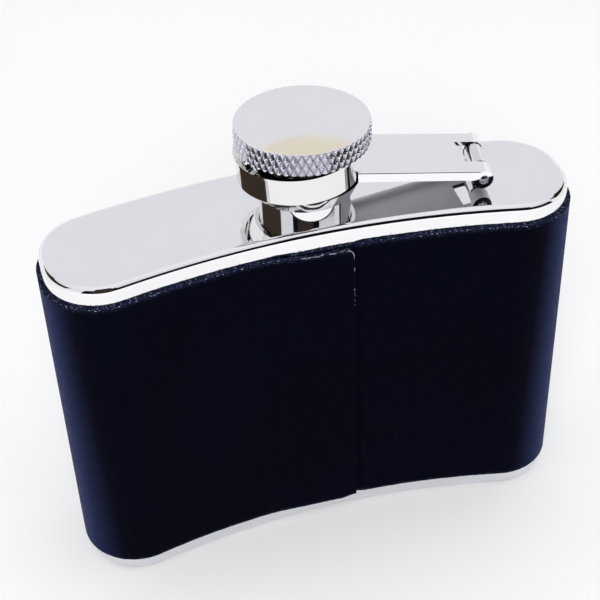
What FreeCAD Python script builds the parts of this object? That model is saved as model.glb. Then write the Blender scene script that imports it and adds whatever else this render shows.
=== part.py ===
import FreeCAD, Part
import math
import os

# Hip flask with a captive screw cap on a hinged arm. Millimetres, +Z up, the wide face along X,
# the hollow (hip) side towards -Y. The origin is under the middle of the flask, on its base.

# Body outline, a kidney: hollow in front, round at the back, tight corners at both ends.
BODY_HALF_WIDTH = 42.6
BODY_THICKNESS = 20.9
HOLLOW_RADIUS = 137.2
BACK_RADIUS = 150.5
HOLLOW_CORNER_RADIUS = 8.9
BACK_CORNER_RADIUS = 9.1

BODY_HEIGHT = 61.7
SHEET = 0.6
RIM_RADIUS = 1.05
COVER_SKIRT = 3.6

LEATHER_THICKNESS = 0.7
LEATHER_BOTTOM = 3.1
LEATHER_TOP = 58.55

# Neck. Its axis stands a little in front of the middle of the body's thickness.
NECK_FORWARD = 1.3
NECK_BORE_RADIUS = 5.1
NECK_SPIGOT_RADIUS = 6.0
NECK_SPIGOT_DEPTH = 1.1
NECK_SHOULDER_RADIUS = 7.3
NECK_SHOULDER_HEIGHT = 2.9
NECK_TOP = 68.5
THREAD_PITCH = 1.6
THREAD_DEPTH = 0.42
NECK_THREAD_CREST_RADIUS = 6.55
THREAD_TURNS = 1.4
THREAD_RISE = 0.75
THREAD_SUNK = 0.15
THREAD_ROOT_SHARE = 0.42
THREAD_CREST_SHARE = 0.15
NECK_CHAMFER = 0.25

# Cap: a knurled head on a threaded sleeve, with a captive collar that can turn between them.
CAP_TOP = 76.4
HEAD_RADIUS = 10.7
HEAD_HEIGHT = 3.6
HEAD_EDGE = 0.35
HEAD_SKIN = 1.4
SLEEVE_RADIUS = 7.95
SLEEVE_BOTTOM = 64.7
SLEEVE_BORE_RADIUS = 7.45
SLEEVE_THREAD_CREST_RADIUS = 6.98
SLEEVE_WEB = 1.2
SLEEVE_RECESS_RADIUS = 7.0
LIP_TOP = 67.1
LIP_TOP_RADIUS = 9.25
LIP_BOTTOM_RADIUS = 8.05
GASKET_THICKNESS = 1.0
GASKET_RADIUS = 7.4

# The collar is loose on the sleeve: pushed away from the hinge, and lower at that side by its tilt.
COLLAR_SHIFT = -0.87
COLLAR_TILT = 2.3
COLLAR_BORE_RADIUS = 9.0
COLLAR_RADIUS = 9.75
COLLAR_BOTTOM = 67.45
FLANGE_RADIUS = 9.95
FLANGE_BOTTOM = 71.5
FLANGE_TOP = 71.9

# Arm: a channel that slopes down from the collar to its hinge, with an eye on each side of a notch.
# Heights and distances are for its middle. Its pin isn't quite square to it, by PIN_SKEW degrees.
ARM_HEADING = -3.0
ARM_TOP_AT_AXIS = 70.31
ARM_SLOPE = 9.03
ARM_HALF_WIDTH = 5.85
ARM_SHEET = 0.7
ARM_FLANGE = 1.7
ARM_EDGE_RADIUS = 0.35
ARM_START = 7.3
PIN_DISTANCE = 28.45
PIN_SKEW = 7.0
EYE_RADIUS = 1.6
NOTCH_START = 25.6
NOTCH_HALF_WIDTH = 2.95
EYE_BACK = 2.4

PIN_RADIUS = 0.6
PIN_RUNNING_FIT = 0.05
PIN_HEAD_RADIUS = 0.8
PIN_HEAD_HEIGHT = 0.35

KNUCKLE_RADIUS = 1.5
KNUCKLE_HALF_WIDTH = 2.55
BRACKET_HALF_WIDTH = 2.3
BRACKET_STEM = 1.8
BRACKET_DEPTH = 1.4

# Cutting shapes run past what they cut by SPARE. Lengths closer than SAME count as equal.
SPARE = 2.0
SAME = 1e-3


def vec(x, y, z):
    return FreeCAD.Vector(x, y, z)


def z_arc(centre, radius, start, end):
    """Edge of a circle in the XY plane, from one angle to another, both in radians."""
    circle = Part.Circle(centre, vec(0, 0, 1), radius)
    if start < end:
        return circle.toShape(start, end)
    return circle.toShape(end, start)


def corner_centre(ring_centre_y, ring_radius, x):
    """Centre, at x, of a corner circle that touches a large arc about ring_centre_y."""
    return vec(x, ring_centre_y + math.sqrt(ring_radius ** 2 - x ** 2), 0)


def kidney_wire(offset, z):
    """Outline of the body, moved outwards by offset, at height z."""
    back_y = BODY_THICKNESS / 2 - BACK_RADIUS
    front_y = -BODY_THICKNESS / 2 - HOLLOW_RADIUS
    back_x = BODY_HALF_WIDTH - BACK_CORNER_RADIUS
    front_x = BODY_HALF_WIDTH - HOLLOW_CORNER_RADIUS
    back_corner = corner_centre(back_y, BACK_RADIUS - BACK_CORNER_RADIUS, back_x)
    front_corner = corner_centre(front_y, HOLLOW_RADIUS + HOLLOW_CORNER_RADIUS, front_x)
    back_angle = math.atan2(back_corner.y - back_y, back_x)
    front_angle = math.atan2(front_corner.y - front_y, front_x)
    side_x = BODY_HALF_WIDTH + offset

    edges = [
        z_arc(vec(0, back_y, 0), BACK_RADIUS + offset, back_angle, math.pi - back_angle),
        z_arc(vec(0, front_y, 0), HOLLOW_RADIUS - offset, front_angle, math.pi - front_angle),
    ]
    for side in (1, -1):
        back = vec(side * back_x, back_corner.y, 0)
        front = vec(side * front_x, front_corner.y, 0)
        if side > 0:
            edges.append(z_arc(back, BACK_CORNER_RADIUS + offset, 0, back_angle))
            edges.append(z_arc(front, HOLLOW_CORNER_RADIUS + offset, front_angle - math.pi, 0))
        else:
            edges.append(z_arc(back, BACK_CORNER_RADIUS + offset, math.pi - back_angle, math.pi))
            edges.append(z_arc(front, HOLLOW_CORNER_RADIUS + offset, math.pi, 2 * math.pi - front_angle))
        edges.append(Part.makeLine(vec(side * side_x, front.y, 0), vec(side * side_x, back.y, 0)))
    wire = Part.Wire(Part.__sortEdges__(edges))
    wire.translate(vec(0, 0, z))
    return wire


def kidney_block(offset, bottom, top):
    return Part.Face(kidney_wire(offset, bottom)).extrude(vec(0, 0, top - bottom))


def front_reach():
    """How far the leather reaches forward and back of the middle of the body's thickness."""
    box = kidney_block(LEATHER_THICKNESS, 0, 1).BoundBox
    return box.YMin, box.YMax


def edges_at(shape, z):
    found = []
    for edge in shape.Edges:
        box = edge.BoundBox
        if abs(box.ZMin - z) < SAME and abs(box.ZMax - z) < SAME:
            found.append(edge)
    return found


def revolve(profile):
    """Solid turned about the Z axis from a list of (radius, height) points."""
    points = [vec(r, 0, z) for r, z in profile]
    face = Part.Face(Part.makePolygon(points + points[:1]))
    return face.revolve(vec(0, 0, 0), vec(0, 0, 1), 360)


def ring(inner, outer, bottom, top):
    return revolve([(inner, bottom), (outer, bottom), (outer, top), (inner, top)])


def cylinder(radius, bottom, top):
    return Part.makeCylinder(radius, top - bottom, vec(0, 0, bottom))


def pin_direction():
    skew = math.radians(PIN_SKEW)
    return vec(math.sin(skew), math.cos(skew), 0)


def across(radius, centre, half_width):
    """Cylinder that lies across the arm, along the pin, with its middle at centre."""
    along = pin_direction()
    return Part.makeCylinder(radius, 2 * half_width, centre - along * half_width, along)


def slanted(face, half_width):
    """Prism across the arm, along the pin, with its two ends parallel to the arm's sides."""
    reach = pin_direction() * (half_width / math.cos(math.radians(PIN_SKEW)))
    low = face.copy()
    low.translate(reach * -1)
    return low.extrude(reach * 2)


def block(x0, x1, half_width, z0, z1):
    return Part.makeBox(x1 - x0, 2 * half_width, z1 - z0, vec(x0, -half_width, z0))


def thread(root, crest, bottom):
    """One helical ridge with sloped flanks between two radii, sunk a little into its wall."""
    sunk = root - THREAD_SUNK * math.copysign(1, crest - root)
    length = THREAD_TURNS * THREAD_PITCH
    wide = THREAD_ROOT_SHARE * THREAD_PITCH
    narrow = THREAD_CREST_SHARE * THREAD_PITCH
    helix = Part.Wire(Part.makeHelix(THREAD_PITCH, length, root).Edges)
    points = [vec(sunk, 0, -wide), vec(crest, 0, -narrow), vec(crest, 0, narrow), vec(sunk, 0, wide)]
    profile = Part.makePolygon(points + points[:1])
    ridge = helix.makePipeShell([profile], True, True)
    ridge.translate(vec(0, 0, bottom))
    return ridge


def bottom_pan():
    """A pressed end cover: a flat kidney plate with a rounded rim and a short skirt."""
    outer = kidney_block(0, 0, COVER_SKIRT)
    outer = outer.makeFillet(RIM_RADIUS, edges_at(outer, 0))
    inner = kidney_block(-SHEET, SHEET, COVER_SKIRT + SPARE)
    inner = inner.makeFillet(RIM_RADIUS - SHEET, edges_at(inner, SHEET))
    return outer.cut(inner)


def top_pan():
    pan = bottom_pan().mirror(vec(0, 0, 0), vec(0, 0, 1))
    pan.translate(vec(0, 0, BODY_HEIGHT))
    return pan


def tube(offset_inside, offset_outside, bottom, top):
    return kidney_block(offset_outside, bottom, top).cut(kidney_block(offset_inside, bottom, top))


def neck():
    spigot_bottom = BODY_HEIGHT - NECK_SPIGOT_DEPTH
    shoulder = BODY_HEIGHT + NECK_SHOULDER_HEIGHT
    root = NECK_THREAD_CREST_RADIUS - THREAD_DEPTH
    blank = revolve([
        (NECK_BORE_RADIUS, spigot_bottom),
        (NECK_SPIGOT_RADIUS, spigot_bottom),
        (NECK_SPIGOT_RADIUS, BODY_HEIGHT),
        (NECK_SHOULDER_RADIUS, BODY_HEIGHT),
        (NECK_SHOULDER_RADIUS, shoulder - NECK_CHAMFER),
        (NECK_SHOULDER_RADIUS - NECK_CHAMFER, shoulder),
        (root, shoulder),
        (root, NECK_TOP - NECK_CHAMFER),
        (root - NECK_CHAMFER, NECK_TOP),
        (NECK_BORE_RADIUS, NECK_TOP),
    ])
    return blank.fuse(thread(root, NECK_THREAD_CREST_RADIUS, shoulder + THREAD_RISE))


def cap_sleeve():
    web_bottom = NECK_TOP + GASKET_THICKNESS
    blank = revolve([
        (SLEEVE_BORE_RADIUS, SLEEVE_BOTTOM),
        (LIP_BOTTOM_RADIUS, SLEEVE_BOTTOM),
        (LIP_TOP_RADIUS, LIP_TOP),
        (SLEEVE_RADIUS, LIP_TOP),
        (SLEEVE_RADIUS, CAP_TOP - HEAD_SKIN),
        (SLEEVE_RECESS_RADIUS, CAP_TOP - HEAD_SKIN),
        (SLEEVE_RECESS_RADIUS, web_bottom + SLEEVE_WEB),
        (0, web_bottom + SLEEVE_WEB),
        (0, web_bottom),
        (SLEEVE_BORE_RADIUS, web_bottom),
    ])
    return blank.fuse(thread(SLEEVE_BORE_RADIUS, SLEEVE_THREAD_CREST_RADIUS, SLEEVE_BOTTOM + THREAD_RISE))


def cap_head():
    underside = CAP_TOP - HEAD_HEIGHT
    return revolve([
        (0, CAP_TOP - HEAD_SKIN),
        (SLEEVE_RADIUS, CAP_TOP - HEAD_SKIN),
        (SLEEVE_RADIUS, underside),
        (HEAD_RADIUS - HEAD_EDGE, underside),
        (HEAD_RADIUS, underside + HEAD_EDGE),
        (HEAD_RADIUS, CAP_TOP - HEAD_EDGE),
        (HEAD_RADIUS - HEAD_EDGE, CAP_TOP),
        (0, CAP_TOP),
    ])


def place_collar(shape):
    """Lean a piece built about the cap's axis as the loose collar leans, and push it off centre."""
    leaning = shape.copy()
    middle = (COLLAR_BOTTOM + FLANGE_TOP) / 2
    leaning.rotate(vec(0, 0, middle), vec(0, 1, 0), -COLLAR_TILT)
    leaning.translate(vec(COLLAR_SHIFT, 0, 0))
    return leaning


def captive_collar():
    wall = ring(COLLAR_BORE_RADIUS, COLLAR_RADIUS, COLLAR_BOTTOM, FLANGE_BOTTOM)
    flange = ring(COLLAR_BORE_RADIUS, FLANGE_RADIUS, FLANGE_BOTTOM, FLANGE_TOP)
    return place_collar(wall.fuse(flange).removeSplitter())


def arm_top(distance):
    """Height of the arm's top face along its middle, at a distance from the cap's axis."""
    return ARM_TOP_AT_AXIS - distance * math.tan(math.radians(ARM_SLOPE))


def pin_centre():
    drop = EYE_RADIUS / math.cos(math.radians(ARM_SLOPE))
    return vec(PIN_DISTANCE, 0, arm_top(PIN_DISTANCE) - drop)


def arm_profile():
    """Side view of the arm up to its hinge: sloping top, shallow flange, deeper at the eye."""
    pin = pin_centre()
    slope = math.radians(ARM_SLOPE)
    behind = pin.x - EYE_BACK
    return Part.makePolygon([
        vec(0, 0, arm_top(0)),
        vec(pin.x + EYE_RADIUS * math.sin(slope), 0, pin.z + EYE_RADIUS * math.cos(slope)),
        vec(pin.x, 0, pin.z - EYE_RADIUS),
        vec(behind, 0, arm_top(behind) - ARM_FLANGE),
        vec(0, 0, arm_top(0) - ARM_FLANGE),
        vec(0, 0, arm_top(0)),
    ])


def under_sheet():
    """The space below the arm's sheet and between its flanges."""
    far = PIN_DISTANCE + 2 * EYE_RADIUS
    near = -2 * EYE_RADIUS
    high = [vec(near, 0, arm_top(near) - ARM_SHEET), vec(far, 0, arm_top(far) - ARM_SHEET)]
    low = [vec(far, 0, BODY_HEIGHT), vec(near, 0, BODY_HEIGHT)]
    return slanted(Part.Face(Part.makePolygon(high + low + high[:1])), ARM_HALF_WIDTH - ARM_SHEET)


def top_long_edges(shape):
    """The two edges where the sloping top face bends down into the flanges."""
    skew = math.tan(math.radians(PIN_SKEW))
    found = []
    for edge in shape.Edges:
        ends = [v.Point for v in edge.Vertexes]
        on_top = all(abs(p.z - arm_top(p.x - skew * p.y)) < SAME for p in ends)
        if on_top and abs(ends[0].y - ends[1].y) < SAME:
            found.append(edge)
    return found


def eyes():
    """The round ends of the arm about the pin, still joined across the notch."""
    circle = Part.makeCircle(EYE_RADIUS, pin_centre(), vec(0, 1, 0))
    return slanted(Part.Face(Part.Wire([circle])), ARM_HALF_WIDTH)


def hinge_arm():
    pin = pin_centre()
    blank = slanted(Part.Face(arm_profile()), ARM_HALF_WIDTH)
    blank = blank.makeFillet(ARM_EDGE_RADIUS, top_long_edges(blank))
    channel = blank.cut(under_sheet())
    far = PIN_DISTANCE + EYE_RADIUS + SPARE
    notch = block(NOTCH_START, far, NOTCH_HALF_WIDTH, BODY_HEIGHT, CAP_TOP)
    arm = channel.fuse(eyes()).cut(notch)
    arm = arm.cut(across(PIN_RADIUS, pin, ARM_HALF_WIDTH + SPARE))
    arm = arm.cut(block(-SPARE, ARM_START, ARM_HALF_WIDTH + SPARE, BODY_HEIGHT, CAP_TOP))
    return arm.cut(place_collar(cylinder(COLLAR_RADIUS, BODY_HEIGHT, CAP_TOP)))


def pin_head(side, half):
    """Low dome outside one eye, flat against the arm's side."""
    outward = pin_direction() * side
    tilt = PIN_HEAD_RADIUS * math.tan(math.radians(PIN_SKEW))
    dome_radius = (PIN_HEAD_RADIUS ** 2 + PIN_HEAD_HEIGHT ** 2) / (2 * PIN_HEAD_HEIGHT)
    ball = Part.makeSphere(dome_radius, pin_centre() + outward * (half + PIN_HEAD_HEIGHT - dome_radius))
    foot = pin_centre() + outward * (half - tilt)
    shell = Part.makeCylinder(PIN_HEAD_RADIUS, PIN_HEAD_HEIGHT + tilt, foot, outward)
    far = PIN_DISTANCE + EYE_RADIUS + SPARE
    return ball.common(shell).cut(block(0, far, ARM_HALF_WIDTH, BODY_HEIGHT, CAP_TOP))


def hinge_pin():
    """Plain pin with a low peened head outside each eye."""
    half = ARM_HALF_WIDTH / math.cos(math.radians(PIN_SKEW))
    shank = across(PIN_RADIUS, pin_centre(), half + PIN_HEAD_HEIGHT / 2)
    return shank.fuse(pin_head(1, half)).fuse(pin_head(-1, half)).removeSplitter()


def bracket_tab():
    """Straight tab of the bracket, which passes through the top cover."""
    pin = pin_centre()
    half = BRACKET_STEM / 2
    low = BODY_HEIGHT - BRACKET_DEPTH
    tab = block(-half, half, BRACKET_HALF_WIDTH, low, pin.z)
    tab.rotate(vec(0, 0, 0), vec(0, 0, 1), -PIN_SKEW)
    tab.translate(vec(pin.x, 0, 0))
    return tab


def hinge_bracket():
    pin = pin_centre()
    knuckle = across(KNUCKLE_RADIUS, pin, KNUCKLE_HALF_WIDTH)
    bracket = knuckle.fuse(bracket_tab()).removeSplitter()
    return bracket.cut(across(PIN_RADIUS + PIN_RUNNING_FIT, pin, KNUCKLE_HALF_WIDTH + SPARE))


def place_body(shape):
    """Move a body piece so that the leather's outline is centred on the origin."""
    low, high = front_reach()
    moved = shape.copy()
    moved.translate(vec(0, -(low + high) / 2, 0))
    return moved


def place_neck(shape):
    """Move a piece built about the neck's axis to the neck."""
    moved = place_body(shape)
    moved.translate(vec(0, -NECK_FORWARD, 0))
    return moved


def place_arm(shape):
    """Turn a piece built along +X to the arm's heading, about the neck's axis."""
    turned = shape.copy()
    turned.rotate(vec(0, 0, 0), vec(0, 0, 1), ARM_HEADING)
    return place_neck(turned)


def top_cover():
    hole = place_neck(cylinder(NECK_SPIGOT_RADIUS, BODY_HEIGHT - SPARE, BODY_HEIGHT + SPARE))
    return place_body(top_pan()).cut(hole).cut(place_arm(bracket_tab()))


def build():
    gasket_top = NECK_TOP + GASKET_THICKNESS
    return {
        "body_shell": place_body(tube(-SHEET, 0, COVER_SKIRT, BODY_HEIGHT - COVER_SKIRT)),
        "bottom_cover": place_body(bottom_pan()),
        "top_cover": top_cover(),
        "leather_wrap": place_body(tube(0, LEATHER_THICKNESS, LEATHER_BOTTOM, LEATHER_TOP)),
        "neck": place_neck(neck()),
        "cap_head": place_neck(cap_head()),
        "cap_sleeve": place_neck(cap_sleeve()),
        "cap_gasket": place_neck(cylinder(GASKET_RADIUS, NECK_TOP, gasket_top)),
        "captive_collar": place_arm(captive_collar()),
        "hinge_arm": place_arm(hinge_arm()),
        "hinge_pin": place_arm(hinge_pin()),
        "hinge_bracket": place_arm(hinge_bracket()),
    }


def save(parts):
    os.makedirs("parts", exist_ok=True)
    for name, shape in parts.items():
        box = shape.BoundBox
        print("%-15s solids %d valid %s volume %.1f z %.2f..%.2f" % (
            name, len(shape.Solids), shape.isValid(), shape.Volume, box.ZMin, box.ZMax))
        shape.exportStep("parts/" + name + ".step")


save(build())
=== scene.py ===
import math

import bpy
import numpy as np
from mathutils import Matrix, Vector


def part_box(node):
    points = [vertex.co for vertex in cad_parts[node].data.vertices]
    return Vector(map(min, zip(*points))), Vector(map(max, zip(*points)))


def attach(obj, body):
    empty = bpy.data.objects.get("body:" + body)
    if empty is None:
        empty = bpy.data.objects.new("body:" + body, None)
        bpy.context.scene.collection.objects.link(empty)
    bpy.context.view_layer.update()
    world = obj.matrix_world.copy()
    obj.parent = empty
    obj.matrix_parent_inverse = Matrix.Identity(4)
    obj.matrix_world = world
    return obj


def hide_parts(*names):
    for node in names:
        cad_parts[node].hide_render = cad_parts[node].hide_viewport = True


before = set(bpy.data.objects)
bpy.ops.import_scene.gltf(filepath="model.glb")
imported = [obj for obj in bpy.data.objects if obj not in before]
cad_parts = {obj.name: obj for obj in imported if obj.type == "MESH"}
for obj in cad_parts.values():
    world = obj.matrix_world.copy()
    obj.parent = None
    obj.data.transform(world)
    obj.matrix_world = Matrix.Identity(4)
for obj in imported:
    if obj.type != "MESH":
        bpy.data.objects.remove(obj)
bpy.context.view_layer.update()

# Lengths are in millimetres in the part's own frame, and angles in degrees, unless a comment
# says otherwise.
MM = 0.001

# The camera.
CAMERA_TARGET = (-1.059, 1.97, 40.665)
CAMERA_AZIMUTH = -14.622
CAMERA_ELEVATION = 38.255
CAMERA_DISTANCE = 226.313
CAMERA_ROLL = -2.28
CAMERA_LENS = 80.32
CAMERA_SENSOR = 36.0

FLOOR_REACH = 9000

# Boards that show only as reflections. The curved ones stand round the flask between two azimuths
# and two elevations. Azimuth 0 is straight in front of its hollow side.
CARD_DISTANCE = 1500
CARD_COLUMNS = 13
CURVED_CARDS = (
    ("card_left", (-150, -78), (24, 46), (0.055, 0.040, 0.028)),
    ("card_right", (80, 127), (24, 46), (0.02, 0.017, 0.016)),
    ("card_front", (-46, 20), (0.5, 46), (0.005, 0.005, 0.010)),
    ("card_front_side", (20, 64), (1, 36), (0.02, 0.02, 0.034)),
)

# The upright board behind the camera.
CAMERA_CARD_BEHIND = 15
CAMERA_CARD_WIDTH = 130
CAMERA_CARD_LOW = 45
CAMERA_CARD_HIGH = 420
CAMERA_CARD_COLOUR = (0.05, 0.038, 0.03)

# A pale paper above and behind the flask: the cap's top mirrors its lower edge.
PAPER_PLACE = (31.6, 112.1, 156.4)
PAPER_TOWARDS = (-0.224, -0.816, -0.533)
PAPER_HALF_WIDTH = 13.2
PAPER_HALF_HEIGHT = 5.6
PAPER_CORNERS = 48
PAPER_COLOUR = (0.72, 0.67, 0.54)

# Two soft lights: name, place and size in metres, and power in watts.
SOFTBOXES = (
    ("softbox_above", (0.25, -0.1, 1.5), 1.4, 4.0),
    ("softbox_front", (-0.3, -0.9, 0.8), 0.6, 8.5),
)
SOFTBOX_AIM = (0, 0, 0.05)

# The sky's colour, by the sine of the elevation.
SKY_LOW = (0.97, 0.97, 0.98, 1)
SKY_LOW_ENDS = 0.34
SKY_MIDDLE = (0.80, 0.80, 0.84, 1)
SKY_MIDDLE_RUNS = (0.43, 0.75)
SKY_TOP = (0.92, 0.92, 0.94, 1)

STEEL = (0.90, 0.90, 0.91)

# The flask's outline seen from above: a kidney of two large arcs with round corners.
HOLLOW_RADIUS = 137.2
BACK_RADIUS = 150.5
HOLLOW_CORNER = 8.9
BACK_CORNER = 9.1
BODY_THICKNESS = 20.9
OUTLINE_STEP = 0.1
LEATHER = 0.7

# The lap of the leather. Distances along the strip count from the middle of the hollow side, and
# the strip's outer end lies over its inner end after one turn.
LAP_START = -5.3
LAP_END = 5.07
# The inner layer is thinned under the lap, and has its full thickness again past LAP_END.
LAP_SKIVED = 0.34
SKIVED_RUNS = (-0.1, 1.6)
# The outer layer's skin is this far from the metal. It climbs there near LAP_START.
LAP_RAISED = 1.02
RAISED_RUNS = (-6.0, 3.0)
# Its top edge was cut lower, also near LAP_START, and its top corner was cut round.
LAP_TRIM = 0.62
TRIM_RUNS = (-3.0, 4.0)
LAP_CORNER = 1.3
# Its bottom edge starts to hang lower this far before the middle of the hollow side, and its
# bottom corner was cut back.
LAP_DROOP = 0.55
DROOP_STARTS = 16.0
LAP_CUT_BACK = 0.5
CUT_BACK_LENGTH = 3.0

# Gaps under the leather's two layers.
GLUE = 0.005
LAP_GAP = 0.02

# How uneven the skin and the cut edges are: the length and size of each ripple, and how far each
# surface is drawn in so that its ripples don't stand proud.
SKIN_RIPPLES = ((2.5, 0.012),)
SKIN_INSET = 0.015
TOP_RIPPLES = ((0.5, 0.035), (7.0, 0.05))
BOTTOM_RIPPLES = ((0.5, 0.03), (9.0, 0.06))
EDGE_INSET = 0.09

# The strip's cross-section: round outer edges, and rows of points up its skin and its inside. The
# marks say how raw each point of a round edge is, from the skin to the cut.
EDGE_RADIUS = 0.22
EDGE_RADIUS_SHARE = 0.45
EDGE_MARKS = (0.35, 0.8, 1, 1, 1)
SKIN_ROWS = 90
INSIDE_ROWS = 14
DENT_WAVES = 9
DENT_SIZE = 0.0035
DENT_INSET = 0.01

# Loose fibres: how many lie along the lap's top edge, round its corner, down its end, and along
# the rest of the top edge.
FIBRES_LAP_TOP = 16
FIBRES_CORNER = 9
FIBRES_LAP_END = 7
FIBRES_TOP = 34
FIBRES_LAP_TOP_SPAN = 8.0
FIBRES_LAP_END_SPAN = 13.0
FIBRE_POINTS = 6
FIBRE_CURL = 0.05
FIBRE_STANDS_OUT = 0.05
FIBRE_THIN = (0.015, 0.028)
FIBRE_THICK = (0.035, 0.06)
HAIR_SIDES = 3
HAIR_TIP_ANGLE = 0.35

# The cap's head: steep crossed grooves around its rim leave tall diamonds.
KNURLS_AROUND = 56
KNURL_ROWS = 3
KNURL_STEPS = 4
KNURL_PERIOD = 2 * KNURL_STEPS
KNURL_DEPTH = 0.42
KNURL_CREST = 0.9
KNURL_LEFT_AT_TOP = 0.35
HEAD_SOCKET = 7.95
HEAD_SKIN = 1.4
HEAD_BEVEL = 0.12
HEAD_TOP_DROP = 0.01
HEAD_TOP_RINGS = (1.0, 0.985, 0.95, 0.9, 0.8, 0.65, 0.5, 0.35, 0.2, 0.1)


# Scene building blocks

def link_object(name, data):
    made = bpy.data.objects.new(name, data)
    bpy.context.scene.collection.objects.link(made)
    return made


def mesh_object(name, points, faces, material):
    """A mesh from points in millimetres, smooth across everything but its sharp edges."""
    mesh = bpy.data.meshes.new(name)
    mesh.from_pydata((np.asarray(points, float) * MM).tolist(), [], faces)
    mesh.validate()
    mesh.polygons.foreach_set("use_smooth", [True] * len(mesh.polygons))
    mesh.set_sharp_from_angle(angle=math.radians(28))
    mesh.materials.append(material)
    return link_object(name, mesh)


def grid_faces(rows, columns, closed=False):
    """Quads of a grid of points stored row by row. A closed grid joins its last column to its first."""
    faces = []
    for row in range(rows - 1):
        low = row * columns
        high = low + columns
        for column in range(columns if closed else columns - 1):
            right = (column + 1) % columns
            faces.append((low + column, high + column, high + right, low + right))
    return faces


# Materials

def rgba(colour, share=1.0):
    """A colour with its alpha, darkened to a share of itself."""
    return (*[c * share for c in colour], 1)


class Nodes:
    """A material's node tree, with short calls to add and join nodes. Scales are per metre."""

    def __init__(self, name):
        self.material = bpy.data.materials.new(name)
        self.material.use_nodes = True
        self.tree = self.material.node_tree
        self.shader = self.tree.nodes["Principled BSDF"]
        self.coordinates = self.add("ShaderNodeTexCoord")
        self.place = self.coordinates.outputs["Object"]

    def add(self, kind, settings=None, **sockets):
        made = self.tree.nodes.new(kind)
        for key, value in (settings or {}).items():
            setattr(made, key, value)
        for key, value in sockets.items():
            self.set(made, key.replace("_", " "), value)
        return made

    def set(self, node, socket, value):
        if isinstance(value, bpy.types.NodeSocket):
            self.tree.links.new(value, node.inputs[socket])
        else:
            node.inputs[socket].default_value = value

    def stretched(self, x, y, z):
        made = self.add("ShaderNodeMapping", Vector=self.place, Scale=(x, y, z))
        return made.outputs["Vector"]

    def noise(self, scale, detail=4.0, place=None, rough=0.5):
        place = place or self.place
        made = self.add("ShaderNodeTexNoise", Vector=place, Scale=scale, Detail=detail, Roughness=rough)
        return made.outputs["Fac"]

    def cells(self, scale):
        made = self.add("ShaderNodeTexVoronoi", {"feature": "SMOOTH_F1"}, Vector=self.place, Scale=scale)
        return made.outputs["Distance"]

    def spread(self, value, low, high, to_low=0.0, to_high=1.0):
        made = self.add("ShaderNodeMapRange", Value=value)
        self.set(made, "From Min", low)
        self.set(made, "From Max", high)
        self.set(made, "To Min", to_low)
        self.set(made, "To Max", to_high)
        return made.outputs["Result"]

    def uneven(self, value, low, high, rough):
        """A roughness that varies around its usual value."""
        return self.spread(value, low, high, rough * 0.6, rough * 1.5)

    def maths(self, operation, a, b):
        made = self.add("ShaderNodeMath", {"operation": operation})
        self.set(made, 0, a)
        self.set(made, 1, b)
        return made.outputs[0]

    def mix(self, share, a, b):
        """Mix two colours. A mix node numbers its colour sockets 6, 7 and, for the result, 2."""
        made = self.add("ShaderNodeMix", {"data_type": "RGBA"})
        self.set(made, 0, share)
        self.set(made, 6, a)
        self.set(made, 7, b)
        return made.outputs[2]

    def bump(self, height, distance, strength):
        made = self.add("ShaderNodeBump", Height=height, Distance=distance * MM, Strength=strength)
        self.set(self.shader, "Normal", made.outputs["Normal"])

    def principled(self, **sockets):
        for key, value in sockets.items():
            self.set(self.shader, key.replace("_", " "), value)
        return self.material


def polished_steel(name, tint, rough, waviness):
    """Mirror-polished sheet: faint polishing lines, patches of wiped haze and a slight waviness."""
    n = Nodes(name)
    haze = n.noise(160.0, 3.0)
    lines = n.noise(900.0, 2.0, n.stretched(0.06, 1.0, 1.0))
    both = n.maths("ADD", n.maths("MULTIPLY", haze, 0.7), n.maths("MULTIPLY", lines, 0.3))
    roughness = n.uneven(both, 0.35, 0.65, rough)
    shade = n.mix(n.spread(haze, 0.3, 0.7), rgba(tint, 0.97), rgba(tint))
    height = n.maths("ADD", n.noise(70.0, 1.0), n.maths("MULTIPLY", lines, 0.02))
    n.bump(height, waviness, 0.5)
    return n.principled(Base_Color=shade, Metallic=1.0, Roughness=roughness)


def turned_steel(name, tint, rough):
    """Turned on a lathe: fine rings around the vertical axis."""
    n = Nodes(name)
    rings = n.noise(5200.0, 2.0, n.stretched(0.01, 0.01, 1.0))
    haze = n.noise(240.0, 3.0)
    roughness = n.uneven(n.maths("ADD", rings, haze), 0.7, 1.3, rough)
    shade = n.mix(n.spread(rings, 0.3, 0.7), rgba(tint, 0.93), rgba(tint))
    n.bump(rings, 0.002, 0.35)
    return n.principled(Base_Color=shade, Metallic=1.0, Roughness=roughness)


def sheet_steel(name, tint, rough, waviness):
    """Polished sheet whose underside was left dull as it came from the mill; the underside's colour is
    also painted a little darker, as painted shade.
    """
    n = Nodes(name)
    normal = n.coordinates.outputs["Normal"]
    facing = n.add("ShaderNodeSeparateXYZ", Vector=normal).outputs["Z"]
    under = n.spread(facing, -0.45, -0.25, 1.0, 0.0)
    haze = n.noise(200.0, 3.0)
    # Faces that look downward get a dull mill finish, and their colour is painted darker there as
    # painted shade.
    dull_and_shaded = n.mix(haze, (0.72, 0.72, 0.77, 1), (0.84, 0.84, 0.89, 1))
    shade = n.mix(under, rgba(tint), dull_and_shaded)
    metallic = n.spread(under, 0.0, 1.0, 1.0, 0.2)
    shine = n.uneven(haze, 0.35, 0.65, rough)
    roughness = n.maths("MAXIMUM", shine, n.maths("MULTIPLY", under, 0.6))
    n.bump(n.noise(70.0, 1.0), waviness, 0.5)
    return n.principled(Base_Color=shade, Metallic=metallic, Roughness=roughness)


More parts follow.
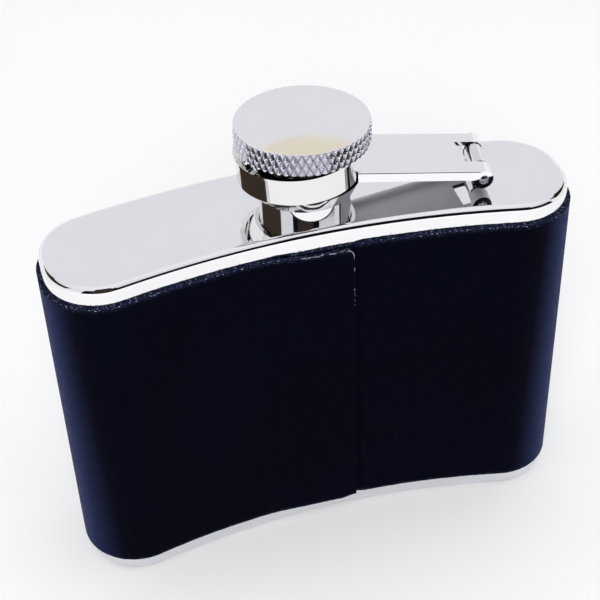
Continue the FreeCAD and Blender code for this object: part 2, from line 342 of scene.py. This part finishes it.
def satin_steel(name):
    """Rolled knurling: its grooves are painted darker grey than its crests, as painted shade, and its
    crests vary unevenly in brightness with wear.
    """
    n = Nodes(name)
    wear = n.noise(1500.0, 3.0)
    crest = n.add("ShaderNodeAttribute", {"attribute_name": "crest"}).outputs["Fac"]
    ridge = n.mix(wear, (0.62, 0.62, 0.70, 1), (0.90, 0.90, 0.97, 1))
    # Painted shade: the grooves are painted a darker grey than the crests, by how far in each point
    # lies.
    shade = n.mix(n.spread(crest, 0.0, 0.7), (0.44, 0.44, 0.50, 1), ridge)
    roughness = n.spread(wear, 0.3, 0.7, 0.12, 0.22)
    n.bump(n.noise(4200.0, 3.0), 0.006, 0.5)
    return n.principled(Base_Color=shade, Metallic=1.0, Roughness=roughness)


def brushed_sheet(name):
    """The tank's wall, brushed around: it only shows through the mouth."""
    n = Nodes(name)
    lines = n.noise(3500.0, 3.0, n.stretched(0.02, 0.02, 1.0))
    shade = n.mix(n.spread(lines, 0.3, 0.7), (0.55, 0.55, 0.56, 1), (0.7, 0.7, 0.71, 1))
    roughness = n.spread(lines, 0.3, 0.7, 0.25, 0.4)
    n.bump(lines, 0.004, 0.5)
    return n.principled(Base_Color=shade, Metallic=1.0, Roughness=roughness)


def silicone(name):
    """The seal inside the cap: off-white and matt, with fine specks."""
    n = Nodes(name)
    speck = n.noise(1800.0, 5.0)
    shade = n.mix(speck, (0.72, 0.70, 0.66, 1), (0.82, 0.80, 0.76, 1))
    roughness = n.spread(speck, 0.3, 0.7, 0.45, 0.62)
    n.bump(n.noise(2600.0, 3.0), 0.01, 0.4)
    return n.principled(Base_Color=shade, Roughness=roughness, Specular_IOR_Level=0.35)


def leather(name):
    """Very dark navy leather with a fine pebbled grain and a painted blue sheen at grazing angles; the
    cut edges are paler and fibrous.
    """
    n = Nodes(name)
    edge = n.add("ShaderNodeAttribute", {"attribute_name": "edge"}).outputs["Fac"]
    pebbles = n.cells(1700.0)
    creases = n.noise(620.0, 5.0, rough=0.6)
    pores = n.noise(5200.0, 3.0)
    grain = n.maths("ADD", n.maths("MULTIPLY", pebbles, 0.9), n.maths("MULTIPLY", creases, 0.5))
    height = n.maths("ADD", grain, n.maths("MULTIPLY", pores, 0.25))
    patch = n.spread(n.noise(45.0, 4.0), 0.3, 0.7)
    skin = n.mix(patch, (0.0002, 0.0005, 0.0032, 1), (0.0004, 0.0008, 0.0048, 1))
    # Painted sheen: the skin is painted a paler blue where it is seen at a grazing angle.
    sheen_share = n.add("ShaderNodeLayerWeight", Blend=0.5).outputs["Facing"]
    skin = n.mix(n.spread(sheen_share, 0.37, 0.74), skin, (0.013, 0.020, 0.070, 1))
    fibres = n.spread(n.noise(3400.0, 4.0), 0.57, 0.70)
    raw = n.mix(fibres, (0.006, 0.0085, 0.023, 1), (0.15, 0.17, 0.24, 1))
    shade = n.mix(edge, skin, raw)
    rough = n.spread(creases, 0.3, 0.7, 0.44, 0.62)
    n.bump(height, 0.06, 0.55)
    return n.principled(Base_Color=shade, Roughness=rough, Specular_IOR_Level=0.02,
                        Sheen_Weight=0.008, Sheen_Roughness=0.35, Sheen_Tint=(0.25, 0.38, 1.0, 1))


def fibre(name):
    n = Nodes(name)
    shade = n.mix(n.noise(900.0, 2.0), (0.16, 0.17, 0.20, 1), (0.55, 0.56, 0.52, 1))
    return n.principled(Base_Color=shade, Roughness=0.8)


def floor_paper(name):
    n = Nodes(name)
    shade = n.mix(n.noise(9.0, 2.0), (0.775, 0.775, 0.765, 1), (0.80, 0.80, 0.79, 1))
    return n.principled(Base_Color=shade, Roughness=0.9, Specular_IOR_Level=0.1)


def dull_card(name, colour, darker=0.6):
    """A matt board, whose colour varies between its own and a darker share of it."""
    n = Nodes(name)
    shade = n.mix(n.noise(3.0, 2.0), rgba(colour, darker), rgba(colour))
    return n.principled(Base_Color=shade, Roughness=1.0, Specular_IOR_Level=0.0)


# Camera, floor and light

def direction(azimuth, elevation):
    """The direction from the flask to a place at an azimuth and elevation."""
    turn = math.radians(azimuth)
    rise = math.radians(elevation)
    flat = math.cos(rise)
    return Vector((math.sin(turn) * flat, -math.cos(turn) * flat, math.sin(rise)))


def make_camera():
    data = bpy.data.cameras.new("camera")
    data.lens = CAMERA_LENS
    data.sensor_width = CAMERA_SENSOR
    data.clip_start = 0.01
    data.clip_end = 50.0
    camera = link_object("camera", data)
    back = direction(CAMERA_AZIMUTH, CAMERA_ELEVATION)
    aim = (-back).to_track_quat("-Z", "Y").to_matrix()
    roll = Matrix.Rotation(math.radians(CAMERA_ROLL), 3, "Z")
    camera.rotation_mode = "QUATERNION"
    camera.rotation_quaternion = (aim @ roll).to_quaternion()
    camera.location = (Vector(CAMERA_TARGET) + back * CAMERA_DISTANCE) * MM
    bpy.context.scene.camera = camera


def only_reflected(board):
    """Keep a board out of the picture and out of the soft light: it only shows in mirrors."""
    board.visible_camera = False
    board.visible_diffuse = False
    board.visible_shadow = False


def curved_card(name, azimuths, elevations, colour):
    """A board bent round the object, between two azimuths and two elevations."""
    points = []
    for azimuth in np.linspace(*azimuths, CARD_COLUMNS):
        for elevation in elevations:
            height = CARD_DISTANCE * math.tan(math.radians(elevation))
            points.append(direction(azimuth, 0) * CARD_DISTANCE + Vector((0, 0, height)))
    faces = grid_faces(CARD_COLUMNS, len(elevations))
    only_reflected(mesh_object(name, points, faces, dull_card(name, colour)))


def camera_card(name):
    """The dark upright shape of whoever holds the camera, just behind it."""
    eye = Vector(CAMERA_TARGET) + direction(CAMERA_AZIMUTH, CAMERA_ELEVATION) * CAMERA_DISTANCE
    place = eye + direction(CAMERA_AZIMUTH, 0) * CAMERA_CARD_BEHIND
    side = Vector((0, 0, 1)).cross(direction(CAMERA_AZIMUTH, 0))
    points = []
    for height in (CAMERA_CARD_LOW, CAMERA_CARD_HIGH):
        for along_side in (-CAMERA_CARD_WIDTH / 2, CAMERA_CARD_WIDTH / 2):
            points.append(Vector((place.x, place.y, height)) + side * along_side)
    material = dull_card(name, CAMERA_CARD_COLOUR)
    only_reflected(mesh_object(name, points, [(0, 1, 3, 2)], material))


def paper_card(name):
    """The small oval of pale paper that shows along the front of the cap's top."""
    towards = Vector(PAPER_TOWARDS)
    side = towards.cross(Vector((0, 0, 1))).normalized()
    up = side.cross(towards).normalized()
    points = []
    for angle in np.linspace(0, 2 * math.pi, PAPER_CORNERS, endpoint=False):
        across = side * (PAPER_HALF_WIDTH * math.cos(angle))
        points.append(Vector(PAPER_PLACE) + across + up * (PAPER_HALF_HEIGHT * math.sin(angle)))
    material = dull_card(name, PAPER_COLOUR, 0.93)
    only_reflected(mesh_object(name, points, [tuple(range(PAPER_CORNERS))], material))


def make_stage():
    reach = FLOOR_REACH
    corners = [(-reach, -reach, 0), (reach, -reach, 0), (reach, reach, 0), (-reach, reach, 0)]
    floor = mesh_object("floor", corners, [(0, 1, 2, 3)], floor_paper("floor_paper"))
    for card in CURVED_CARDS:
        curved_card(*card)
    camera_card("card_camera")
    paper_card("card_paper")


def softbox(name, place, size, energy):
    """A square soft light, aimed at the object, that never shows in the mirrors."""
    data = bpy.data.lights.new(name, "AREA")
    data.shape = "SQUARE"
    data.size = size
    data.energy = energy
    light = link_object(name, data)
    light.visible_glossy = False
    light.location = place
    aim = Vector(SOFTBOX_AIM) - light.location
    light.rotation_euler = aim.to_track_quat("-Z", "Y").to_euler()


def make_light():
    world = bpy.data.worlds.new("studio")
    bpy.context.scene.world = world
    world.use_nodes = True
    nodes = world.node_tree.nodes
    links = world.node_tree.links
    place = nodes.new("ShaderNodeTexCoord")
    split = nodes.new("ShaderNodeSeparateXYZ")
    ramp = nodes.new("ShaderNodeValToRGB")
    stops = ramp.color_ramp.elements
    stops[0].position = SKY_LOW_ENDS
    stops[0].color = SKY_LOW
    stops[1].position = 1.0
    stops[1].color = SKY_TOP
    for position in SKY_MIDDLE_RUNS:
        stops.new(position).color = SKY_MIDDLE
    links.new(place.outputs["Generated"], split.inputs["Vector"])
    links.new(split.outputs["Z"], ramp.inputs["Fac"])
    links.new(ramp.outputs["Color"], nodes["Background"].inputs["Color"])
    nodes["Background"].inputs["Strength"].default_value = 1.0

    for box in SOFTBOXES:
        softbox(*box)
    bpy.context.scene.view_settings.view_transform = "Standard"


# The leather wrap

def arc(centre, radius, start, end, outward=1):
    """Points and outward normals along an arc. With outward -1 the normals face its centre."""
    count = max(3, int(abs(end - start) * radius / OUTLINE_STEP))
    angle = np.linspace(start, end, count)
    away = np.stack([np.cos(angle), np.sin(angle)], 1)
    return np.array(centre) + radius * away, outward * away


def corner_y(arc_y, distance, x):
    """The y of a corner's centre, at a given distance from the large arc's own centre."""
    return arc_y + math.sqrt(distance ** 2 - x ** 2)


def kidney(half_width):
    """The body's outline once round from the middle of the hollow side: points and normals."""
    back_y = BODY_THICKNESS / 2 - BACK_RADIUS
    front_y = -BODY_THICKNESS / 2 - HOLLOW_RADIUS
    back_x = half_width - BACK_CORNER
    front_x = half_width - HOLLOW_CORNER
    back_c = corner_y(back_y, BACK_RADIUS - BACK_CORNER, back_x)
    front_c = corner_y(front_y, HOLLOW_RADIUS + HOLLOW_CORNER, front_x)
    back_a = math.atan2(back_c - back_y, back_x)
    front_a = math.atan2(front_c - front_y, front_x)
    pieces = [
        arc((0, front_y), HOLLOW_RADIUS, math.pi / 2, front_a, -1),
        arc((front_x, front_c), HOLLOW_CORNER, front_a - math.pi, 0),
        arc((back_x, back_c), BACK_CORNER, 0, back_a),
        arc((0, back_y), BACK_RADIUS, back_a, math.pi - back_a),
        arc((-back_x, back_c), BACK_CORNER, math.pi - back_a, math.pi),
        arc((-front_x, front_c), HOLLOW_CORNER, math.pi, 2 * math.pi - front_a),
        arc((0, front_y), HOLLOW_RADIUS, math.pi - front_a, math.pi / 2, -1),
    ]
    points = np.concatenate([p for p, _ in pieces])
    normals = np.concatenate([n for _, n in pieces])
    skin = points + LEATHER * normals
    points[:, 1] -= (skin[:, 1].min() + skin[:, 1].max()) / 2
    return points, normals


def along(points):
    """The distance of each point along the line that they make."""
    steps = np.linalg.norm(np.diff(points, axis=0), axis=1)
    return np.concatenate([[0], np.cumsum(steps)])


def smooth_step(x, low, high):
    t = np.clip((x - low) / (high - low), 0, 1)
    return t * t * (3 - 2 * t)


def ripple(rng, x, length, size):
    """Random variation along x, with features about that length and size."""
    knots = np.arange(x.min() - 2 * length, x.max() + 3 * length, length)
    return np.interp(x, knots, rng.uniform(-size, size, len(knots)))


def rippled(rng, x, line, ripples):
    """A line with ripples of several lengths and sizes added to it."""
    for length, size in ripples:
        line = line + ripple(rng, x, length, size)
    return line


def dents(rng, u, heights):
    """Very shallow dents of the leather over the metal, in millimetres."""
    field = np.zeros((len(u), len(heights)))
    for _ in range(DENT_WAVES):
        a = rng.uniform(0.02, 0.22)
        b = rng.uniform(0.5, 7.0)
        c = rng.uniform(0, 2 * math.pi)
        field += np.sin(a * u[:, None] + b * heights[None, :] + c)
    return DENT_SIZE * field - DENT_INSET


def leather_stations(perimeter):
    """Distances along the strip, closer together near its two ends and where it steps off the lap."""
    start = LAP_START
    end = perimeter + LAP_END
    runs = (
        (start, start + 2, 0.12),
        (start + 2, LAP_END - 1, 0.3),
        (LAP_END - 1, LAP_END + 1, 0.1),
        (LAP_END + 1, end - 14, 0.34),
        (end - 14, end - 2, 0.2),
        (end - 2, end, 0.06),
    )
    return np.concatenate([*[np.arange(*run) for run in runs], [end]])


def leather_sections(u, perimeter, low, high, rng):
    """For each station: inner and outer distance from the metal, and the strip's bottom and top."""
    start = perimeter + LAP_START
    end = perimeter + LAP_END
    skived = 1 - smooth_step(u, LAP_END + SKIVED_RUNS[0], LAP_END + SKIVED_RUNS[1])
    over = smooth_step(u, start + RAISED_RUNS[0], start + RAISED_RUNS[1])
    inner = GLUE + over * (LEATHER - LAP_SKIVED + LAP_GAP)
    outer = LEATHER - skived * LAP_SKIVED + over * (LAP_RAISED - LEATHER)
    outer = rippled(rng, u, outer, SKIN_RIPPLES) - SKIN_INSET

    top = rippled(rng, u, np.full(len(u), high), TOP_RIPPLES) - EDGE_INSET
    top -= LAP_TRIM * smooth_step(u, start + TRIM_RUNS[0], start + TRIM_RUNS[1])
    into_corner = np.clip(u - (end - LAP_CORNER), 0, LAP_CORNER)
    top -= LAP_CORNER - np.sqrt(np.maximum(LAP_CORNER ** 2 - into_corner ** 2, 0.0))
    bottom = rippled(rng, u, np.full(len(u), low), BOTTOM_RIPPLES) + EDGE_INSET
    bottom -= LAP_DROOP * smooth_step(u, perimeter - DROOP_STARTS, end)
    bottom += LAP_CUT_BACK * smooth_step(u, end - CUT_BACK_LENGTH, end)
    return inner, outer, bottom, top


def leather_ring(inner, outer, bottom, top, heights):
    """One cross-section of the strip, round in order: distance from the metal, height, edge mark."""
    radius = min(EDGE_RADIUS, (outer - inner) * EDGE_RADIUS_SHARE)
    turn = np.linspace(0, math.pi / 2, len(EDGE_MARKS))
    round_out = outer - radius + radius * np.cos(turn)
    round_top = top - radius + radius * np.sin(turn)
    round_bottom = bottom + radius - radius * np.sin(turn)
    skin = bottom + radius + heights * (top - bottom - 2 * radius)
    inside = np.linspace(top, bottom, INSIDE_ROWS)
    skin_out = np.full(len(skin), outer)
    distance = np.concatenate([round_out[::-1], skin_out, round_out, np.full(len(inside), inner)])
    height = np.concatenate([round_bottom[::-1], skin, round_top, inside])
    mark = np.concatenate([EDGE_MARKS[::-1], np.zeros(len(skin)), EDGE_MARKS, np.ones(len(inside))])
    return distance, height, mark


class Strip:
    """The leather strip: where a point lies, from its distance along, distance out and height."""

    def __init__(self):
        low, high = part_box("leather_wrap")
        self.points, self.normals = kidney(high.x / MM - LEATHER)
        self.s = along(self.points)
        self.perimeter = self.s[-1]
        self.rng = np.random.default_rng(7)
        self.u = leather_stations(self.perimeter)
        sections = leather_sections(self.u, self.perimeter, low.z / MM, high.z / MM, self.rng)
        self.inner, self.outer, self.bottom, self.top = sections

    def place(self, u, distance, height):
        wrapped = np.mod(u, self.perimeter)
        xy = []
        for axis in (0, 1):
            metal = np.interp(wrapped, self.s, self.points[:, axis])
            xy.append(metal + np.interp(wrapped, self.s, self.normals[:, axis]) * distance)
        return np.stack(np.broadcast_arrays(*xy, height), -1)


def leather_mesh(strip, material):
    heights = np.linspace(0, 1, SKIN_ROWS + 2)[1:-1]
    shallow = dents(strip.rng, strip.u, heights)
    skin = slice(len(EDGE_MARKS), len(EDGE_MARKS) + SKIN_ROWS)
    vertices = []
    marks = []
    for i, u in enumerate(strip.u):
        section = (strip.inner[i], strip.outer[i], strip.bottom[i], strip.top[i])
        distance, height, mark = leather_ring(*section, heights)
        distance[skin] += shallow[i]
        vertices.append(strip.place(u, distance, height))
        marks.append(mark)
    rows = len(strip.u)
    columns = len(vertices[0])
    faces = grid_faces(rows, columns, closed=True)
    faces.append(tuple(range(columns)))
    faces.append(tuple(range((rows - 1) * columns, rows * columns))[::-1])
    marks = np.concatenate(marks)
    marks[-columns:] = 1.0
    wrap = mesh_object("leather_cover", np.concatenate(vertices), faces, material)
    attribute = wrap.data.attributes.new("edge", "FLOAT", "POINT")
    attribute.data.foreach_set("value", marks.astype(np.float32))
    return wrap


def hair(line, radius):
    """A closed three-sided thread along a line of points, thinner at both ends."""
    across = (0.3, 0.5, 0.81)
    ahead = np.gradient(line, axis=0)
    ahead /= np.linalg.norm(ahead, axis=1)[:, None]
    side = np.cross(ahead, across)
    side /= np.linalg.norm(side, axis=1)[:, None]
    up = np.cross(side, ahead)
    angles = np.arange(HAIR_SIDES) * 2 * math.pi / HAIR_SIDES
    swell = np.linspace(HAIR_TIP_ANGLE, math.pi - HAIR_TIP_ANGLE, len(line))
    thin = radius * np.sin(swell)[:, None, None]
    ring = side[:, None, :] * np.cos(angles)[None, :, None]
    ring = ring + up[:, None, :] * np.sin(angles)[None, :, None]
    points = (line[:, None, :] + thin * ring).reshape(-1, 3)
    faces = grid_faces(len(line), HAIR_SIDES, closed=True)
    last = HAIR_SIDES * (len(line) - 1)
    return points, faces + [(0, 1, 2), (last + 2, last + 1, last)]


def fibre_starts(strip, rng):
    """Where loose fibres lie: (distance along, height, slope, length). Half of them are at the lap."""
    end = strip.perimeter + LAP_END
    corner = end - LAP_CORNER

    def top(u):
        return float(np.interp(u, strip.u, strip.top))

    starts = []
    for u in rng.uniform(corner - FIBRES_LAP_TOP_SPAN, corner, FIBRES_LAP_TOP):
        starts.append((u, top(u) - 0.05, rng.normal(0.0, 0.12), rng.uniform(0.3, 1.0)))
    for share in np.linspace(0.05, 1.0, FIBRES_CORNER):
        angle = share * math.pi / 2
        u = corner + LAP_CORNER * math.sin(angle) - 0.06
        height = top(corner) - LAP_CORNER * (1 - math.cos(angle)) - 0.1
        starts.append((u, height, -angle, rng.uniform(0.3, 0.6)))
    for fall in rng.uniform(LAP_CORNER + 1.0, FIBRES_LAP_END_SPAN, FIBRES_LAP_END):
        u = end - rng.uniform(0.0, 0.08)
        slope = rng.normal(-math.pi / 2, 0.08)
        starts.append((u, top(corner) - fall, slope, rng.uniform(0.25, 0.9)))
    for u in rng.uniform(LAP_END, corner - FIBRES_LAP_TOP_SPAN, FIBRES_TOP):
        height = top(u) - rng.uniform(0.0, 0.12)
        starts.append((u, height, rng.normal(0.0, 0.3), rng.uniform(0.12, 0.4)))
    return starts


def fibre_mesh(strip, material):
    """Pale fibres that stand out of the raw edges of the leather, thin where they hang down."""
    rng = np.random.default_rng(23)
    points = []
    faces = []
    for u, z, slope, length in fibre_starts(strip, rng):
        run = np.linspace(0, length, FIBRE_POINTS)
        bow = np.sin(run / length * math.pi)
        curl = rng.normal(0, FIBRE_CURL) * bow
        out = float(np.interp(u, strip.u, strip.outer)) - 0.02 + FIBRE_STANDS_OUT * bow
        forward = run * math.cos(slope) - curl * math.sin(slope)
        upward = run * math.sin(slope) + curl * math.cos(slope)
        hangs = abs(slope) > 1.2
        radius = rng.uniform(*(FIBRE_THIN if hangs else FIBRE_THICK))
        more, sides = hair(strip.place(u + forward, out, z + upward), radius)
        first = sum(len(p) for p in points)
        points.append(more)
        faces += [tuple(first + i for i in face) for face in sides]
    return mesh_object("leather_fibres", np.concatenate(points), faces, material)


# The cap's knurled head

def zigzag(x):
    """0 on whole numbers, 1 half way between."""
    return 1 - np.abs(2 * np.mod(x, 1.0) - 1)


def knurl_radius(column, row, radius):
    """The rim's radius at a column and row: crests between grooves that cross."""
    around = column / float(KNURL_PERIOD)
    up = row / float(KNURL_PERIOD)
    peak = np.minimum(zigzag(around + up), zigzag(around - up))
    return radius - KNURL_DEPTH * (1 - np.minimum(peak / KNURL_CREST, 1.0))


def circle(columns, radius, height):
    """A level ring: the same (radius, height) in every column."""
    return np.full((columns, 2), (radius, height))


def head_rings(radius, low, high):
    """Rings of (radius, height) from the head's socket, up the knurled rim and in over the top.

    Also says which ring is the first of the rim, and how many rows and columns the rim has.
    """
    columns = KNURLS_AROUND * KNURL_PERIOD
    rows = KNURL_ROWS * KNURL_STEPS
    column = np.arange(columns)
    edge = HEAD_BEVEL / 2
    rings = [
        circle(columns, HEAD_SOCKET, high - HEAD_SKIN),
        circle(columns, HEAD_SOCKET, low),
        circle(columns, radius - KNURL_DEPTH - HEAD_BEVEL, low),
    ]
    first = len(rings)
    for row in range(rows + 1):
        r = knurl_radius(column, row, radius)
        if row == 0:
            r = np.minimum(r, radius - HEAD_BEVEL)
        if row == rows:
            r = radius - HEAD_BEVEL - KNURL_LEFT_AT_TOP * (radius - r)
        height = low + edge + (high - low - 2 * edge) * row / rows
        rings.append(np.stack([r, np.full(columns, height)], 1))
    shoulder = rings[-1][:, 0] - edge / 2
    rings.append(np.stack([shoulder, np.full(columns, high - HEAD_TOP_DROP)], 1))
    for share in HEAD_TOP_RINGS:
        rings.append(circle(columns, (radius - 3 * HEAD_BEVEL) * share, high))
    return rings, first, rows, columns


def knurl_faces(first, rows, columns):
    """Triangles of the knurled rim, split along the grooves."""
    faces = []
    for row in range(rows):
        low = (first + row) * columns
        high = low + columns
        for column in range(columns):
            right = (column + 1) % columns
            a = low + column
            b = low + right
            c = high + right
            d = high + column
            if (column + row + 1) % KNURL_PERIOD in (0, KNURL_STEPS):
                faces += [(a, b, d), (b, c, d)]
            else:
                faces += [(a, b, c), (a, c, d)]
    return faces


def plain_faces(rings, first, rows, columns):
    """Quads between the rings below and above the rim, and a fan that closes each end."""
    faces = []
    for ring in range(rings - 1):
        if first <= ring < first + rows:
            continue
        low = ring * columns
        high = low + columns
        for column in range(columns):
            right = (column + 1) % columns
            faces.append((low + column, low + right, high + right, high + column))
    socket = rings * columns
    top = socket + 1
    last = (rings - 1) * columns
    for column in range(columns):
        right = (column + 1) % columns
        faces.append((socket, right, column))
        faces.append((top, last + column, last + right))
    return faces


def head_mesh(material, knurl_material):
    low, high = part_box("cap_head")
    centre = (low + high) / 2 / MM
    radius = (high.x - low.x) / 2 / MM
    rings, first, rows, columns = head_rings(radius, low.z / MM, high.z / MM)
    angle = np.arange(columns) * 2 * math.pi / columns
    points = []
    for ring in rings:
        x = centre.x + ring[:, 0] * np.cos(angle)
        y = centre.y + ring[:, 0] * np.sin(angle)
        points.append(np.stack([x, y, ring[:, 1]], 1))
    points.append([[centre.x, centre.y, high.z / MM - HEAD_SKIN], [centre.x, centre.y, high.z / MM]])
    points = np.concatenate(points)
    knurls = knurl_faces(first, rows, columns)
    plain = plain_faces(len(rings), first, rows, columns)
    head = mesh_object("knurled_head", points, knurls + plain, material)
    head.data.materials.append(knurl_material)
    rim = slice(first * columns, (first + rows + 1) * columns)
    outward = np.hypot(points[rim, 0] - centre.x, points[rim, 1] - centre.y)
    # How far out each point of the rim stands: the knurl's material paints the grooves darker by it, as
    # painted shade.
    crests = np.ones(len(points), np.float32)
    crests[rim] = 1 - (radius - outward) / KNURL_DEPTH
    head.data.attributes.new("crest", "FLOAT", "POINT").data.foreach_set("value", crests)
    index = [1] * len(knurls) + [0] * len(plain)
    head.data.polygons.foreach_set("material_index", index)
    head.data.polygons.foreach_set("use_smooth", [kind == 0 for kind in index])
    return head


# Put together

def paint(node, material):
    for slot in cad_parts[node].material_slots:
        slot.material = material


def dress():
    paint("top_cover", polished_steel("steel_top", STEEL, 0.045, 0.004))
    paint("bottom_cover", polished_steel("steel_bottom", (0.80, 0.80, 0.85), 0.06, 0.004))
    paint("captive_collar", polished_steel("steel_collar", (0.83, 0.815, 0.80), 0.05, 0.002))
    paint("hinge_arm", sheet_steel("steel_arm", STEEL, 0.05, 0.002))
    paint("hinge_bracket", polished_steel("steel_bracket", (0.78, 0.78, 0.80), 0.06, 0.002))
    paint("neck", turned_steel("steel_neck", STEEL, 0.05))
    paint("cap_sleeve", turned_steel("steel_sleeve", STEEL, 0.06))
    paint("hinge_pin", turned_steel("steel_pin", (0.32, 0.32, 0.38), 0.22))
    paint("body_shell", brushed_sheet("steel_shell"))
    paint("cap_gasket", silicone("silicone_seal"))

    strip = Strip()
    cover = leather_mesh(strip, leather("leather_navy"))
    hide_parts("leather_wrap")
    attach(cover, "flask")
    fibres = fibre_mesh(strip, fibre("leather_fibre"))
    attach(fibres, "flask")

    head = head_mesh(polished_steel("steel_head", STEEL, 0.05, 0.002), satin_steel("steel_knurl"))
    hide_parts("cap_head")
    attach(head, "cap")


make_camera()
make_stage()
make_light()
dress()
